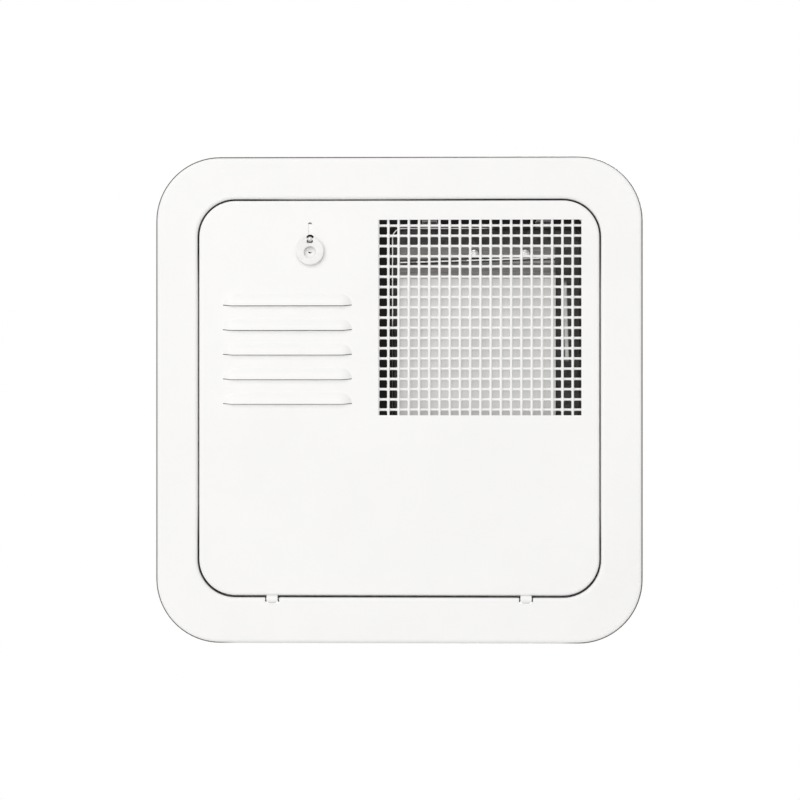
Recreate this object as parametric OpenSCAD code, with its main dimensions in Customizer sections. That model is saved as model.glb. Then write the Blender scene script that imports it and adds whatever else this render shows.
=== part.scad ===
// Access door for a caravan's water heater: a pressed steel trim frame that is screwed to the heater's
// casing, and a drop-down door in it with five louvres, an exhaust grille and a pull-ring latch.
// The modules draw it lying on its back: X runs to the right, Y up the wall and Z out of the wall, with
// zero at the middle of the frame and on the wall's face. stand() turns it upright, with the front
// towards -Y and the origin on the back of the bottom seal.

/* [Trim frame] */
// Width of the flange beside the opening
flange_w = 33.1; // [28:0.1:60]
// Width of the flange above the opening
flange_top = 33.7; // [28:0.1:60]
// Width of the flange below the opening
flange_bottom = 36.5; // [28:0.1:60]
// Corner radius of the trim frame's outside
frame_corner_r = 51; // [44:1:60]
// Width of the opening that the door fills
opening_w = 319.8; // [262:0.1:400]
// Height of the opening that the door fills
opening_h = 315.8; // [260:0.1:400]
// Corner radius of the opening
opening_corner_r = 30; // [20:1:40]
// How far the flange stands in front of the wall
flange_rise = 5.5; // [5.2:0.1:8]
// Thickness of the frame's sheet
frame_sheet = 1; // [0.7:0.1:1.2]
// Radius of the rounded outer rim
rim_r = 3.5; // [3:0.5:5]
// Radius of the bend from the flange into the opening
lip_r = 2.5; // [2:0.5:3.5]
// Gap between the door's rear rim and the stop ledge
stop_gap = 1.5; // [1:0.1:4]
// Width of the stop ledge
stop_width = 8; // [6:0.5:10]
// Depth behind the wall's face at which the rear collar ends
collar_depth = 30; // [26:1:50]
// Radius of the screw holes in the rear collar
screw_hole_r = 2.2; // [1.6:0.1:3]
// Distance from the opening's sides to the screw holes
screw_inset = 49.2; // [40:0.1:60]
// Depth behind the wall's face of the screw holes
screw_depth = 22; // [18:0.5:24]

/* [Seal] */
// Distance from the frame's outside to the foam strip
seal_margin = 7.7; // [6:0.1:14]
// Distance from the opening to the foam strip
seal_inset = 6; // [4:0.5:7]

/* [Door] */
// Thickness of the door's sheet
door_sheet = 0.9; // [0.7:0.1:1.2]
// Gap between the door and the opening at the sides
side_gap = 1.3; // [1:0.1:2.5]
// Gap between the door and the opening at the top
top_gap = 1.3; // [1:0.1:2.5]
// Gap between the door and the opening at the bottom
bottom_gap = 1.7; // [1.6:0.1:2.5]
// Corner radius of the door
door_corner_r = 28.7; // [20:0.1:38]
// Radius of the bend round the door's edge
door_edge_r = 2; // [1.5:0.1:3]
// Depth of the door's edge, from its face to its rear rim
door_depth = 16; // [12:0.5:19]

/* [Louvres] */
// Number of louvres
louvre_count = 5; // [3:1:6]
// Distance between louvres
louvre_pitch = 19.5; // [16:0.5:24]
// Width of a louvre
louvre_width = 102.4; // [60:0.1:106]
// Height of a louvre's hood above its slit
louvre_height = 9; // [6:0.5:10]
// How far a louvre stands out from the face
louvre_rise = 3.6; // [2.4:0.1:4.5]
// How far the lip hangs below the slit
louvre_droop = 0.2; // [0.2:0.1:1.2]
// Height of slit that shows below the lip
louvre_gap = 0.4; // [0.2:0.1:0.8]
// How far the slit turns up at its ends
louvre_turn = 0.6; // [0.2:0.1:1]
// Length of slit that turns up at each end
louvre_turn_w = 7.5; // [4:0.5:12]
// Distance from the opening's left side to the louvres
louvre_left = 20.2; // [14:0.1:24]
// Distance from the opening's top to the lowest louvre's slit
louvre_low = 162.3; // [150:0.1:210]

/* [Exhaust grille] */
// Distance between the grille's wires
wire_pitch = 8.11; // [6.5:0.01:12]
// Thickness of a wire with its paint, across its flats
wire_size = 1.9; // [1.6:0.1:2.6]
// Depth to which the two layers of wires are welded into each other
weld_depth = 0.4; // [0.2:0.1:0.6]
// How far the level wires reach past the window's sides
level_reach = 5.3; // [5:0.1:6]
// How far the upright wires reach past the window's top and bottom
upright_reach = 4; // [4:0.1:6]
// Distance from the opening's left side to the window
window_left = 143.5; // [140:0.1:180]
// Distance from the opening's right side to the window
window_right = 15.5; // [14:0.1:60]
// Distance from the opening's top to the window
window_top = 16.5; // [16:0.1:60]
// Height of the window
window_h = 154.9; // [100:0.1:190]
// Thickness of the strips that clamp the grille
clamp_sheet = 0.8; // [0.6:0.1:1]
// How far a clamp strip reaches over the wires
clamp_reach = 4; // [3:0.5:4]
// Width of a clamp strip's foot on the door's sheet
clamp_foot = 4.4; // [3:0.1:4.5]

/* [Heat shield] */
// Distance from the window's left side to the shield
shield_left = 10.6; // [0:0.1:20]
// How far the shield reaches past the window's right side
shield_right = 0.7; // [-20:0.1:1]
// Distance from the window's top to the shield
shield_top_inset = 5.3; // [4:0.1:20]
// How far the shield reaches below the window
shield_low = 9.5; // [0:0.1:20]
// Depth of the shield's plate behind the wall's face
shield_depth = 17; // [14:0.5:19]
// Thickness of the shield's sheet
shield_sheet = 0.8; // [0.6:0.1:1.2]
// Height of the shield's rim
shield_rim = 6; // [3:0.5:9]
// Corner radius of the shield
shield_corner_r = 8; // [4:0.5:14]
// Width of a bracket that holds the shield
bracket_w = 12; // [8:1:20]
// Distance from the shield's sides to the middle of a bracket
bracket_inset = 30; // [20:1:40]

/* [Instruction plate] */
// Distance from the window's left side to the blank plate
plate_left = 17; // [14:0.1:40]
// Distance from the window's right side to the blank plate
plate_right = 19.8; // [4:0.1:60]
// Distance from the window's top to the plate's flat face
plate_top_inset = 46.1; // [36:0.1:70]
// How far the plate reaches below the window
plate_low = 2.3; // [-40:0.1:6]
// How far the plate's face stands in front of the shield
plate_rise = 9; // [5:0.5:11]
// Height over which the plate slopes back to the shield
plate_slope = 13; // [8:1:16]
// Height of the plate's upper flange
plate_flange = 12.8; // [8:0.1:16]
// Thickness of the plate
plate_sheet = 0.8; // [0.5:0.1:1.2]

/* [Latch] */
// Distance from the opening's left side to the latch
latch_left = 89.5; // [60:0.1:100]
// Distance from the opening's top to the latch's shank
latch_top = 32.1; // [30:0.1:40]
// Radius of the shank
shank_r = 2.1; // [1.7:0.1:2.5]
// Depth of the shank's rear end behind the wall's face
shank_depth = 20; // [19:0.5:23]
// Length of the slot in the door
slot_length = 24.7; // [20:0.1:30]
// Width of the slot in the door
slot_width = 3.2; // [2.4:0.1:3.6]
// Height of the slot's middle above the shank
slot_lift = 1.3; // [0.8:0.1:1.6]
// Height of the middle of the slot's round hole above the shank
hole_lift = 0.75; // [0:0.05:1]
// Radius of the crossbar at the shank's rear
crossbar_r = 1.25; // [1:0.05:1.5]
// Length of the crossbar
crossbar_length = 18; // [14:0.5:20]
// Width of the pull ring
ring_w = 22.1; // [18:0.1:24]
// Height of the pull ring below its pivot
ring_drop = 20.3; // [18:0.1:24]
// Thickness of the pull ring
ring_t = 2.2; // [1.8:0.1:2.4]
// Radius of the pull ring's finger hole
finger_r = 4.6; // [4:0.1:5.5]
// Distance from the pull ring's pivot down to the middle of its finger hole
finger_drop = 10.3; // [9:0.1:11]
// Rounding of the pull ring's edges
ring_round = 0.7; // [0.3:0.1:0.8]
// Radius of the pin on which the pull ring swings
ring_pin_r = 1; // [0.8:0.05:1.2]
// Width of the keeper behind the latch
keeper_w = 34; // [24:1:44]
// Thickness of the keeper and of the plate behind the slot
keeper_sheet = 1.2; // [0.8:0.1:1.5]

/* [Hinges] */
// Distance from the opening's sides to the middle of a hinge
hinge_inset = 59.3; // [48:0.1:90]
// Radius of a hinge's knuckle
knuckle_r = 3.2; // [3:0.1:3.8]
// Width of a knuckle
knuckle_w = 8.7; // [7:0.1:14]
// Radius of a hinge pin
pin_r = 1.25; // [1:0.05:1.5]
// Height of the pins in front of the wall's face
pin_z = 3.6; // [3.5:0.1:4]
// Thickness of a hinge clip's sheet
clip_sheet = 0.8; // [0.8:0.1:1.2]

/* [Hidden] */
$fn = 96;

white = "#f4f3f0";
steel = "#a9adb0";
alloy = "#c9cbcc";
nylon = "#eeeeea";
foam = "#4a4d50";

// Running clearance of a pin in its hole, on the radius
running = 0.05;
// Clearance between the pull ring and its shank
side_play = 0.4;
// Clearance between a knuckle and the ears beside it
knuckle_play = 0.25;
// A length that cuts right through any sheet
through = 60;

frame_w = opening_w + 2*flange_w;
frame_h = opening_h + flange_top + flange_bottom;
opening_y = (flange_bottom - flange_top)/2;
opening_side = opening_w/2;
opening_top = opening_y + opening_h/2;
opening_bottom = opening_y - opening_h/2;
// The origin's height: halfway between the bottom seal's inner and outer edge
seat_y = (opening_bottom - seal_inset - frame_h/2 + seal_margin)/2;
flange_back = flange_rise - frame_sheet;
stop_depth = door_depth - flange_rise + stop_gap;
collar_side = opening_side - stop_width;
collar_top = opening_top - stop_width;
hinge_x = opening_side - hinge_inset;

door_w = opening_w - 2*side_gap;
door_h = opening_h - top_gap - bottom_gap;
door_y = opening_y + (bottom_gap - top_gap)/2;
door_bottom = door_y - door_h/2;
door_front = flange_rise;
door_back = door_front - door_sheet;

// The pin lies one knuckle's radius under the door's edge
pin_y = door_bottom - knuckle_r;
ear_r = 2.1;
ear_x = knuckle_w/2 + knuckle_play;
pin_head_t = 0.2;
notch_half = ear_x + clip_sheet + 2*pin_head_t;
notch_corner = 3;
notch_bottom = pin_y - knuckle_r - 0.9;
clip_front = pin_z - knuckle_r - 0.7;
notch_back = clip_front - 0.7;
clip_length = 11;
corner_drop = 1;
corner_cut = 1.9;
leaf_length = 9.6;
leaf_t = 1.2;

// Louvre: a capsule whose middle lies behind the sheet, so that it stands out by the wanted rise
louvre_x = louvre_left + louvre_width/2 - opening_side;
louvre_y = opening_top - louvre_low;
louvre_ball = (louvre_height*louvre_height + louvre_rise*louvre_rise)/(2*louvre_rise);
louvre_sunk = louvre_ball - louvre_rise;
louvre_tilt = atan(louvre_droop/louvre_rise);
louvre_turn_angle = atan(louvre_turn/louvre_turn_w);

window_w = opening_w - window_left - window_right;
window_x = (window_left - window_right)/2;
window_y = opening_top - window_top - window_h/2;
window_left_x = window_left - opening_side;
window_right_x = opening_side - window_right;

upright_count = round(window_w/wire_pitch) + 1;
level_count = floor(window_h/wire_pitch);
upright_z = door_back - wire_size/2;
level_z = upright_z - wire_size + weld_depth;
upright_back = upright_z - wire_size/2;
level_back = level_z - wire_size/2;
upright_h = window_h + 2*upright_reach;
level_w = window_w + 2*level_reach;
// The grille's middle lies a little to the right of the window's
grille_x = window_x + 0.6;
grille_y = window_y;

// Gap between the ends of the wires and the clamp strips
clamp_gap = 0.3;
clamp_x = level_w/2 + clamp_gap;
clamp_y = upright_h/2 + clamp_gap;

// How far a clamp strip stays short of the next one's line
clamp_cut = 12;
bracket_sheet = 1;
bracket_tab = 14;
bracket_foot = 9;

shield_back = -shield_depth;
shield_front = shield_back + shield_sheet;
shield_top = window_y + window_h/2 - shield_top_inset;
shield_bottom = window_y - window_h/2 - shield_low;
shield_h = shield_top - shield_bottom;
shield_y = (shield_top + shield_bottom)/2;
shield_w = window_right_x + shield_right - window_left_x - shield_left;
shield_x = window_right_x + shield_right - shield_w/2;
bracket_at = shield_w/2 - bracket_inset;
plate_face = shield_front + plate_rise;
plate_w = window_w - plate_left - plate_right;
plate_x = window_right_x - plate_right - plate_w/2;
plate_top = window_y + window_h/2 - plate_top_inset;
plate_bottom = window_y - window_h/2 - plate_low;

latch_x = latch_left - opening_side;
latch_y = opening_top - latch_top;
slot_y = latch_y + slot_lift;
slot_hole_r = shank_r + hole_lift + 0.4;
backing_h = 22;
backing_w = 18;
ring_z = door_front + 2.5;
ring_gap = shank_r + side_play;
ring_notch = shank_r + 1;
ring_disc_r = ring_w/2;
ring_pin_half = ring_gap + 2.6;
washer_z = -6.5;
washer_t = 1;
washer_r = 6;
spring_r = 5.1;
spring_wire_r = 0.45;
spring_step = 0.05;
spring_reach = 4;
spring_turns = 6;
crossbar_z = -shank_depth + 3;
keeper_z = crossbar_z + crossbar_r + 1.6;
keeper_slot_w = 5.6;
keeper_slot_l = crossbar_length + 6;
keeper_hole_r = shank_r + 2.2;
keeper_leg = 13;
keeper_bottom = latch_y - 18;

// Turns the assembly upright and puts the origin on the back of the bottom seal
module stand() {
    translate([0, 0, -seat_y]) rotate([90, 0, 0]) children();
}

// A rectangle with round corners
module rounded(w, h, r) {
    square([w - 2*r, h], center = true);
    square([w, h - 2*r], center = true);
    for (sx = [-1, 1], sy = [-1, 1])
        translate([sx*(w/2 - r), sy*(h/2 - r)]) circle(r = r);
}

// Carries a profile round a rounded rectangle. The profile's X is its distance outside the outline.
module carry_round(w, h, r) {
    for (turn = [0:3]) {
        across = turn % 2 == 0 ? w : h;
        along = turn % 2 == 0 ? h : w;
        rotate([0, 0, 90*turn]) {
            translate([across/2, along/2 - r, 0])
                rotate([90, 0, 0]) linear_extrude(along - 2*r) children();
            translate([across/2 - r, along/2 - r, 0])
                rotate_extrude(angle = 90) translate([r, 0]) children();
        }
    }
}

// A quarter of a bend in sheet of thickness t, with its middle at the origin; side is 1 or -1
module quarter_bend(r, t, side) {
    intersection() {
        difference() {
            circle(r = r);
            circle(r = r - t);
        }
        translate([side > 0 ? 0 : -r, 0]) square(r);
    }
}

// The outline of a sheet bent along the points p, its thickness t on the left of the line
function unit(v) = v/norm(v);
function left_of(v) = [-v[1], v[0]];
function side_before(p, i) = left_of(unit(i > 0 ? p[i] - p[i - 1] : p[1] - p[0]));
function side_after(p, i) = left_of(unit(i < len(p) - 1 ? p[i + 1] - p[i] : p[i] - p[i - 1]));
function mitre(p, i, t) = let (a = side_before(p, i), b = side_after(p, i)) p[i] + t*(a + b)/(1 + a*b);
module bent_sheet(p, t) {
    polygon(concat(p, [for (i = [len(p) - 1:-1:0]) mitre(p, i, t)]));
}

// Extrudes a profile drawn in Y and Z along X, centred on x
module along_x(x, w) {
    translate([x - w/2, 0, 0]) rotate([90, 0, 90]) linear_extrude(w) children();
}

// Extrudes a profile drawn in X and Z along Y, centred on y
module along_y(y, h) {
    translate([0, y + h/2, 0]) rotate([90, 0, 0]) linear_extrude(h) children();
}

// Flange rim, from its flat face round to the wall
module rim_profile() {
    translate([-rim_r, flange_rise - rim_r]) quarter_bend(rim_r, frame_sheet, 1);
    translate([-frame_sheet, 0]) square([frame_sheet, flange_rise - rim_r]);
}

// Bend into the opening, jamb, stop ledge and rear collar
module jamb_profile() {
    translate([lip_r, flange_rise - lip_r]) quarter_bend(lip_r, frame_sheet, -1);
    translate([0, -stop_depth - frame_sheet])
        square([frame_sheet, stop_depth + frame_sheet + flange_rise - lip_r]);
    translate([-stop_width, -stop_depth - frame_sheet]) square([stop_width + frame_sheet, frame_sheet]);
    translate([-stop_width, -collar_depth]) square([frame_sheet, collar_depth - stop_depth]);
}

// Notch in the frame's lower lip in which a hinge works
module hinge_notch() {
    depth = flange_rise + 1 - notch_back;
    translate([0, notch_bottom + notch_corner, notch_back]) {
        translate([-notch_half, 0, 0]) cube([2*notch_half, 8, depth]);
        translate([-notch_half + notch_corner, -notch_corner, 0])
            cube([2*(notch_half - notch_corner), notch_corner + 1, depth]);
        for (side = [-1, 1])
            translate([side*(notch_half - notch_corner), 0, 0]) cylinder(r = notch_corner, h = depth);
    }
}

module trim_frame() {
    color(white) difference() {
        union() {
            translate([0, 0, flange_back]) linear_extrude(frame_sheet) difference() {
                rounded(frame_w - 2*rim_r, frame_h - 2*rim_r, frame_corner_r - rim_r);
                translate([0, opening_y])
                    rounded(opening_w + 2*lip_r, opening_h + 2*lip_r, opening_corner_r + lip_r);
            }
            carry_round(frame_w, frame_h, frame_corner_r) rim_profile();
            translate([0, opening_y, 0])
                carry_round(opening_w, opening_h, opening_corner_r) jamb_profile();
        }
        for (side = [-1, 1]) translate([side*hinge_x, 0, 0]) hinge_notch();
        for (side = [-1, 1], end = [-1, 1]) translate([0, opening_y, -screw_depth]) {
            translate([side*collar_side, end*(opening_h/2 - screw_inset), 0])
                rotate([0, 90, 0]) screw_hole();
            translate([end*(opening_side - screw_inset), side*(opening_h/2 - stop_width), 0])
                rotate([90, 0, 0]) screw_hole();
        }
    }
}

module screw_hole() {
    cylinder(r = screw_hole_r, h = 6, center = true);
}

// One of the four foam strips, mitred at the corners; turn counts quarter turns from the right side
module seal_strip(turn) {
    reach = max(frame_w, frame_h);
    color(foam) linear_extrude(flange_back) intersection() {
        difference() {
            rounded(frame_w - 2*seal_margin, frame_h - 2*seal_margin, frame_corner_r - seal_margin);
            translate([0, opening_y])
                rounded(opening_w + 2*seal_inset, opening_h + 2*seal_inset, opening_corner_r + seal_inset);
        }
        rotate(90*turn) polygon([[0, 0], [reach, -reach], [reach, reach]]);
    }
}

// A slot with a round hole, which lies a given drop below the slot's middle
module keyhole(length, width, hole_r, drop) {
    translate([-width/2, -(length - width)/2]) square([width, length - width]);
    for (side = [-1, 1]) translate([0, side*(length - width)/2]) circle(r = width/2);
    translate([0, -drop]) circle(r = hole_r);
}

module latch_keeper() {
    color(white) difference() {
        along_x(latch_x, keeper_w)
            bent_sheet([[keeper_bottom, keeper_z], [collar_top - keeper_sheet, keeper_z],
                        [collar_top - keeper_sheet, keeper_z - keeper_leg]], keeper_sheet);
        translate([latch_x, latch_y, keeper_z - 2]) linear_extrude(6)
            keyhole(keeper_slot_l, keeper_slot_w, keeper_hole_r, 0);
    }
}

// Clip behind the frame's lip, with an ear on each side of the knuckle
module hinge_clip() {
    base_top = opening_bottom - frame_sheet;
    half = ear_x + clip_sheet;
    color(white) difference() {
        union() {
            translate([-half, base_top - clip_sheet, clip_front - clip_length])
                cube([2*half, clip_sheet, clip_length]);
            for (side = [-1, 1])
                along_x(side*(ear_x + clip_sheet/2), clip_sheet) {
                    translate([pin_y, pin_z]) circle(r = ear_r);
                    translate([pin_y - ear_r, clip_front - 0.4]) square([2*ear_r, pin_z - clip_front + 0.4]);
                }
        }
        along_x(0, through) translate([pin_y, pin_z]) circle(r = pin_r);
    }
}

module hinge_pin() {
    head_r = pin_r + 0.35;
    color(steel) {
        along_x(0, 2*(ear_x + clip_sheet)) translate([pin_y, pin_z]) circle(r = pin_r);
        for (side = [-1, 1])
            along_x(side*(ear_x + clip_sheet + pin_head_t/2), pin_head_t)
                translate([pin_y, pin_z]) circle(r = head_r);
    }
}

// Knuckle with its leaf under the door's edge, its lower corners cut off as seen from the front
module hinge_knuckle() {
    half = knuckle_w/2;
    color(white) difference() {
        union() {
            intersection() {
                along_x(0, knuckle_w) translate([pin_y, pin_z]) circle(r = knuckle_r);
                linear_extrude(through, center = true)
                    polygon([[-half - 1, pin_y + 2*knuckle_r], [half + 1, pin_y + 2*knuckle_r],
                             [half + 1, pin_y - corner_drop + 1], [half, pin_y - corner_drop],
                             [half - corner_cut, pin_y - knuckle_r], [half - corner_cut, pin_y - 2*knuckle_r],
                             [corner_cut - half, pin_y - 2*knuckle_r], [corner_cut - half, pin_y - knuckle_r],
                             [-half, pin_y - corner_drop], [-half - 1, pin_y - corner_drop + 1]]);
            }
            translate([-knuckle_w/2, door_bottom - leaf_t, pin_z - leaf_length])
                cube([knuckle_w, leaf_t, leaf_length]);
        }
        along_x(0, through) translate([pin_y, pin_z]) circle(r = pin_r + running);
    }
}

// The form of a louvre, as a capsule along X with its slit on Y zero
module louvre_form(ball) {
    run = louvre_width - 2*louvre_height;
    translate([0, 0, door_front - louvre_sunk]) {
        rotate([0, 90, 0]) cylinder(r = ball, h = run, center = true);
        for (side = [-1, 1]) translate([side*run/2, 0, 0]) sphere(r = ball);
    }
}

// Everything above a louvre's lip, in front of a given height. The lip turns up at its ends.
module above_lip(floor_z) {
    bend_x = louvre_width/2 - louvre_turn_w;
    intersection() {
        beyond_lip(0, 0);
        beyond_lip(bend_x, louvre_turn_angle);
        beyond_lip(-bend_x, -louvre_turn_angle);
        translate([-louvre_width, -louvre_height, floor_z])
            cube([2*louvre_width, 4*louvre_height, 4*louvre_rise]);
    }
}

// The half of space above a lip's plane, which is turned round a point on the slit
module beyond_lip(bend_x, angle) {
    translate([bend_x, 0, door_front]) rotate([0, 0, angle]) rotate([louvre_tilt, 0, 0])
        translate([-2*louvre_width, 0, -2*louvre_rise])
            cube([4*louvre_width, 3*louvre_height, 6*louvre_rise]);
}

// The slit in the sheet below a louvre, with its ends turned up like the lip's
module louvre_slit() {
    half = louvre_width/2;
    bend_x = half - louvre_turn_w;
    low = louvre_droop + louvre_gap;
    polygon([[-half, louvre_turn], [-bend_x, 0], [bend_x, 0], [half, louvre_turn],
             [half, louvre_turn - low], [bend_x, -low], [-bend_x, -low], [-half, louvre_turn - low]]);
}

module at_louvres() {
    for (i = [0:louvre_count - 1])
        translate([louvre_x, louvre_y + i*louvre_pitch, 0]) children();
}

// The door's edge: a bend from the face into a skirt
module door_edge_profile() {
    translate([-door_edge_r, door_front - door_edge_r]) quarter_bend(door_edge_r, door_sheet, 1);
    translate([-door_sheet, door_front - door_depth]) square([door_sheet, door_depth - door_edge_r]);
}

module door_panel() {
    color(white) difference() {
        union() {
            translate([0, door_y, 0]) {
                translate([0, 0, door_back]) linear_extrude(door_sheet) difference() {
                    rounded(door_w - 2*door_edge_r, door_h - 2*door_edge_r, door_corner_r - door_edge_r);
                    translate([0, -door_y]) at_louvres() louvre_slit();
                }
                carry_round(door_w, door_h, door_corner_r) door_edge_profile();
            }
            at_louvres() intersection() {
                louvre_form(louvre_ball);
                above_lip(door_back);
            }
        }
        at_louvres() intersection() {
            louvre_form(louvre_ball - door_sheet);
            above_lip(door_back - 1);
        }
        translate([window_x, window_y, 0]) cube([window_w, window_h, through], center = true);
        translate([latch_x, slot_y, door_back - 1]) linear_extrude(4)
            keyhole(slot_length, slot_width, slot_hole_r, slot_lift - hole_lift);
    }
}

// Plate behind the slot, which covers all but its two ends
module latch_backing() {
    color(white) translate([latch_x, slot_y, door_back - keeper_sheet]) linear_extrude(keeper_sheet)
        difference() {
            square([backing_w, backing_h], center = true);
            translate([0, hole_lift - slot_lift]) circle(r = slot_hole_r);
        }
}

// A wire of eight sides along Y, with a flat side to the front
module wire(length) {
    rotate([90, 0, 0]) rotate([0, 0, 22.5])
        cylinder(r = wire_size/2/cos(22.5), h = length, center = true, $fn = 8);
}

module wire_grille() {
    color(white) translate([grille_x, grille_y, 0]) {
        for (i = [0:upright_count - 1])
            translate([(i - (upright_count - 1)/2)*wire_pitch, 0, upright_z]) wire(upright_h);
        for (i = [0:level_count - 1])
            translate([0, (i - (level_count - 1)/2)*wire_pitch, level_z])
                rotate([0, 0, 90]) wire(level_w);
    }
}

// Profile of a strip that clamps the grille, from its foot on the door to its edge behind the wires
module clamp_profile(outline, wire_back) {
    bent_sheet([[outline + clamp_foot, door_back], [outline, door_back],
                [outline, wire_back], [outline - clamp_reach, wire_back]], clamp_sheet);
}

// One of the four clamp strips; turn counts quarter turns from the right side
module grille_clamp(turn) {
    upright = turn % 2 == 0;
    along = 2*((upright ? clamp_y : clamp_x) - clamp_cut);
    color(steel) translate([grille_x, grille_y, 0]) rotate([0, 0, 90*turn])
        along_y(0, along) clamp_profile(upright ? clamp_x : clamp_y, upright ? level_back : upright_back);
}

// Shield pan, its rim turned to the front
module heat_shield() {
    bend = 2;
    color(steel) translate([shield_x, shield_y, 0]) {
        translate([0, 0, shield_back]) linear_extrude(shield_sheet)
            rounded(shield_w - 2*bend, shield_h - 2*bend, shield_corner_r - bend);
        carry_round(shield_w, shield_h, shield_corner_r) {
            translate([-bend, shield_back + bend]) mirror([0, 1]) quarter_bend(bend, shield_sheet, 1);
            translate([-shield_sheet, shield_back + bend]) square([shield_sheet, shield_rim - bend]);
        }
    }
}

// Bracket from the upper clamp strip, over the shield's rim and behind the shield
module shield_bracket_top(side) {
    clamp_back = upright_back - clamp_sheet;
    strip_top = grille_y + clamp_y;
    leg = shield_top + 4;
    color(steel) along_x(shield_x + side*bracket_at, bracket_w)
        bent_sheet([[strip_top, clamp_back], [leg, clamp_back], [leg, shield_back],
                    [leg - bracket_tab, shield_back]], bracket_sheet);
}

// Bracket from the door's sheet, under the shield's rim and behind the shield
module shield_bracket_bottom(side) {
    leg = min(shield_bottom - 1.5, grille_y - clamp_y - clamp_foot - 1);
    color(steel) along_x(shield_x + side*bracket_at, bracket_w)
        bent_sheet([[leg + bracket_tab, shield_back], [leg, shield_back], [leg, door_back],
                    [leg - bracket_foot, door_back]], bracket_sheet);
}

// Blank plate with an upper flange on the shield, a slope and a lower leg
module instruction_plate() {
    back = plate_face - plate_sheet;
    color(alloy) along_x(plate_x, plate_w)
        bent_sheet([[plate_bottom, shield_front], [plate_bottom, back], [plate_top, back],
                    [plate_top + plate_slope, shield_front],
                    [plate_top + plate_slope + plate_flange, shield_front]], plate_sheet);
}

// Shank with a round nose; its front hole takes the ring's pin and its rear hole the crossbar
module latch_shank() {
    color(steel) translate([latch_x, latch_y, 0]) difference() {
        union() {
            translate([0, 0, -shank_depth]) cylinder(r = shank_r, h = shank_depth + ring_z);
            translate([0, 0, ring_z]) sphere(r = shank_r);
        }
        translate([0, 0, ring_z]) rotate([0, 90, 0]) cylinder(r = ring_pin_r + running, h = 8, center = true);
        translate([0, 0, crossbar_z]) rotate([90, 0, 0]) cylinder(r = crossbar_r, h = 8, center = true);
    }
}

module latch_crossbar() {
    color(steel) translate([latch_x, latch_y, crossbar_z])
        rotate([90, 0, 0]) cylinder(r = crossbar_r, h = crossbar_length, center = true);
}

// Spring of half turns, each tilted so that it climbs by half the pitch. Every second one is a little
// thinner and reaches into its neighbours' ends.
module latch_spring() {
    from_z = washer_z + washer_t + spring_wire_r;
    to_z = door_back - keeper_sheet - 0.3 - spring_wire_r;
    rise = (to_z - from_z)/(2*spring_turns);
    tilt = atan(rise/(2*spring_r));
    color(steel) translate([latch_x, latch_y, 0])
        for (i = [0:2*spring_turns - 1])
            translate([0, 0, from_z + (i + 0.5)*rise]) rotate([0, 0, 180*i]) rotate([0, tilt, 0])
                half_turn(spring_r/cos(tilt), spring_wire_r - (i % 2)*spring_step, (i % 2)*spring_reach);
}

module half_turn(r, wire_r, reach) {
    rotate([0, 0, -reach]) rotate_extrude(angle = 180 + 2*reach) translate([r, 0]) circle(r = wire_r, $fn = 24);
}

module latch_washer() {
    color(steel) translate([latch_x, latch_y, washer_z]) difference() {
        cylinder(r = washer_r, h = washer_t);
        translate([0, 0, -1]) cylinder(r = shank_r, h = washer_t + 2);
    }
}

// Flat ring with rounded edges, a low finger hole and a notch for the shank in its upper edge
module pull_ring() {
    color(nylon) translate([latch_x, latch_y, ring_z]) difference() {
        translate([0, ring_disc_r - ring_drop, 0]) rotate_extrude() intersection() {
            rounded(2*ring_disc_r, ring_t, ring_round);
            translate([0, -ring_t]) square([ring_w, 2*ring_t]);
        }
        translate([0, -finger_drop, 0]) rotate_extrude() difference() {
            translate([0, -ring_t]) square([finger_r + ring_round, 2*ring_t]);
            translate([finger_r + 2*ring_round, 0]) rounded(4*ring_round, ring_t, ring_round);
        }
        translate([-ring_gap, -ring_notch, -ring_t]) cube([2*ring_gap, ring_w, 2*ring_t]);
        rotate([0, 90, 0]) cylinder(r = ring_pin_r, h = through, center = true);
    }
}

module ring_pin() {
    color(steel) translate([latch_x, latch_y, ring_z])
        rotate([0, 90, 0]) cylinder(r = ring_pin_r, h = 2*ring_pin_half, center = true);
}

stand() trim_frame();
stand() seal_strip(1);  // seal_top
stand() seal_strip(3);  // seal_bottom
stand() seal_strip(2);  // seal_left
stand() seal_strip(0);  // seal_right
stand() latch_keeper();
stand() translate([-hinge_x, 0, 0]) hinge_clip();  // hinge_clip_left
stand() translate([hinge_x, 0, 0]) hinge_clip();  // hinge_clip_right
stand() translate([-hinge_x, 0, 0]) hinge_pin();  // hinge_pin_left
stand() translate([hinge_x, 0, 0]) hinge_pin();  // hinge_pin_right
stand() door_panel();
stand() latch_backing();
stand() wire_grille();
stand() translate([-hinge_x, 0, 0]) hinge_knuckle();  // hinge_knuckle_left
stand() translate([hinge_x, 0, 0]) hinge_knuckle();  // hinge_knuckle_right
stand() grille_clamp(1);  // grille_clamp_top
stand() grille_clamp(3);  // grille_clamp_bottom
stand() grille_clamp(2);  // grille_clamp_left
stand() grille_clamp(0);  // grille_clamp_right
stand() heat_shield();
stand() shield_bracket_top(-1);  // shield_bracket_top_left
stand() shield_bracket_top(1);  // shield_bracket_top_right
stand() shield_bracket_bottom(-1);  // shield_bracket_bottom_left
stand() shield_bracket_bottom(1);  // shield_bracket_bottom_right
stand() instruction_plate();
stand() latch_shank();
stand() latch_crossbar();
stand() latch_spring();
stand() latch_washer();
stand() pull_ring();
stand() ring_pin();
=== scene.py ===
"""Looks of a caravan water heater's access door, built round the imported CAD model.

Lengths are in metres, X runs to the right, Z up and the front faces -Y, as in the CAD model.
"""

import logging
import math
from collections.abc import Callable
from dataclasses import dataclass
from enum import Enum

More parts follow.
